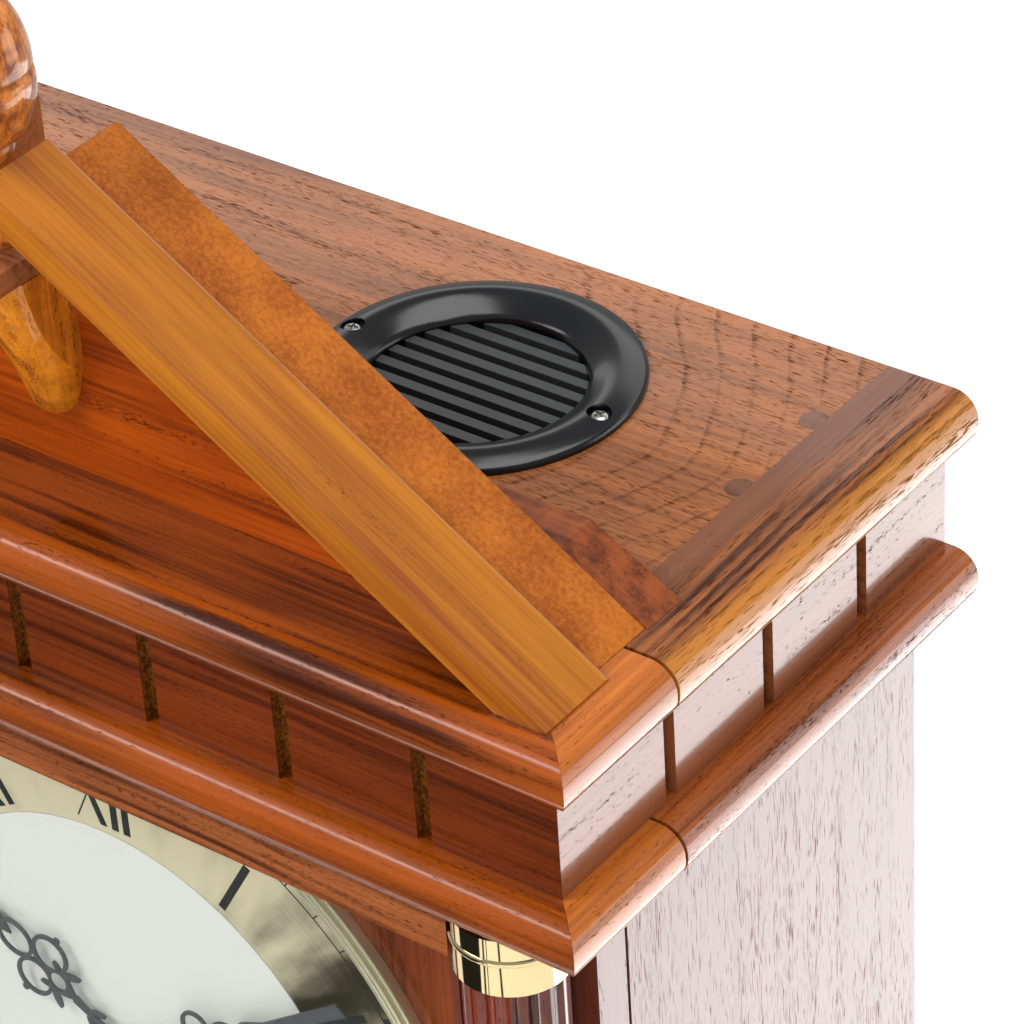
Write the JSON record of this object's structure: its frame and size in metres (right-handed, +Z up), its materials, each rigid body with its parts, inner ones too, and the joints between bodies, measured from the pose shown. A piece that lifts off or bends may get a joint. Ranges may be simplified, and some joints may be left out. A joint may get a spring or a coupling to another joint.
{
  "type": "mantel clock",
  "caption": "Wooden mantel clock with a pediment, turned finial, fluted corner columns, a glazed dial, a speaker in its top and a battery chime movement behind a hinged back door.",
  "frame": {"origin": "on the surface the clock stands on, below the middle of its outline", "axes": "+Z up, +Y towards the back, +X to the right seen from the front; the dial faces -Y"},
  "size_m": [0.3352, 0.1696, 0.48],
  "materials": {
    "side_oak": "semi-gloss lacquered open-grain oak, red-brown",
    "front_oak": "semi-gloss lacquered oak, deep red-brown, grain along the board",
    "frame_oak": "satin red-brown oak veneer",
    "column_oak": "turned and fluted oak, semi-gloss red-brown",
    "top_oak": "warm brown-orange oak with dark pores",
    "pediment_oak": "golden orange oak, semi-gloss",
    "turned_oak": "turned oak, semi-gloss orange-brown",
    "felt": "dark felt pads",
    "polished_brass": "polished and lacquered brass",
    "brushed_gold": "spun brushed champagne gold with printed numerals",
    "white_dial": "satin white print on a metal disc",
    "glass": "clear flat glass",
    "blued_hands": "grey-black serpentine hands",
    "gloss_black": "glossy black moulding with matt slats",
    "paper_cone": "black treated paper cone",
    "speaker_steel": "black pressed steel basket and magnet",
    "chrome": "cross-head screws, plated",
    "zinc": "zinc-plated steel",
    "black_moulding": "black textured moulding",
    "circuit_board": "green board with coil and controls",
    "arbor_brass": "plain turned brass",
    "white_gears": "white moulded gears",
    "battery_jacket": "plain battery jackets",
    "door_board": "thin dark stained hardboard door"
  },
  "bodies": {
    "case": {"abacus": "turned_oak", "backing_block": "top_oak", "base_board": "frame_oak", "base_front": "front_oak", "base_sides": "side_oak", "batteries": "battery_jacket", "battery_contacts": "zinc", "bezel": "polished_brass", "bottom_rail": "front_oak", "centre_disc": "white_dial", "chapter_ring": "brushed_gold", "column_caps": "polished_brass", "column_left": "column_oak", "column_right": "column_oak", "corbel": "turned_oak", "corner_returns": "front_oak", "cornice_board": "frame_oak", "cornice_front": "front_oak", "cornice_sides": "side_oak", "dial_board": "frame_oak", "feet": "felt", "finial": "turned_oak", "frieze_front": "front_oak", "frieze_rails": "frame_oak", "front_stiles": "side_oak", "glass_pane": "glass", "grille_screws": "chrome", "hinge_pins": "arbor_brass", "movement_case": "black_moulding", "movement_cover": "black_moulding", "movement_plate": "circuit_board", "movement_screws": "zinc", "nosing_front": "front_oak", "nosing_sides": "side_oak", "plinth_front": "front_oak", "plinth_rails": "frame_oak", "rake_strip_left": "pediment_oak", "rake_strip_right": "pediment_oak", "screw_plugs": "top_oak", "side_panel_left": "side_oak", "side_panel_right": "side_oak", "speaker_cone": "paper_cone", "speaker_frame": "speaker_steel", "speaker_grille": "gloss_black", "top_board": "top_oak", "top_rail": "front_oak", "top_strips": "top_oak", "tympanum": "pediment_oak"},
    "minute": {"minute_arbor": "arbor_brass", "minute_hand": "blued_hands"},
    "hour": {"hour_wheel": "white_gears", "hour_hand": "blued_hands"},
    "motion": {"motion_wheel": "white_gears", "setting_knob": "black_moulding"},
    "drive": {"drive_pinion": "white_gears"},
    "volume": {"volume_knob": "black_moulding"},
    "switch": {"mode_switch": "black_moulding"},
    "battery_cover": {"battery_cover": "black_moulding"},
    "door": {"back_door": "door_board", "hinge_leaves": "arbor_brass"}
  },
  "joints": [
    {"name": "minute_turn", "type": "hinge", "parent": "case", "child": "minute", "pos_m": [0, -0.02, 0.1615], "axis": [0, 1, 0], "continuous": true},
    {"name": "hour_turn", "type": "hinge", "parent": "case", "child": "hour", "pos_m": [0, -0.02, 0.1615], "axis": [0, 1, 0], "continuous": true},
    {"name": "motion_turn", "type": "hinge", "parent": "case", "child": "motion", "pos_m": [0.012, -0.02, 0.1615], "axis": [0, 1, 0], "continuous": true},
    {"name": "drive_turn", "type": "hinge", "parent": "case", "child": "drive", "pos_m": [-0.0125, -0.02, 0.1615], "axis": [0, 1, 0], "continuous": true},
    {"name": "volume_turn", "type": "hinge", "parent": "case", "child": "volume", "pos_m": [-0.036, -0.02, 0.1855], "axis": [0, 1, 0], "range_deg": [-150, 150]},
    {"name": "switch_slide", "type": "slide", "parent": "case", "child": "switch", "axis": [1, 0, 0], "range_m": [-0.004, 0.004]},
    {"name": "battery_cover_slide", "type": "slide", "parent": "case", "child": "battery_cover", "axis": [0, 0, -1], "range_m": [0, 0.008]},
    {"name": "door_swing", "type": "hinge", "parent": "case", "child": "door", "pos_m": [-0.1353, 0.0823, 0.1615], "axis": [0, 0, 1], "range_deg": [0, 105]}
  ],
  "couplings": [
    {"joint": "hour_turn", "follows": "minute_turn", "ratio": 0.083333},
    {"joint": "motion_turn", "follows": "minute_turn", "ratio": -0.33333},
    {"joint": "drive_turn", "follows": "minute_turn", "ratio": -4}
  ]
}
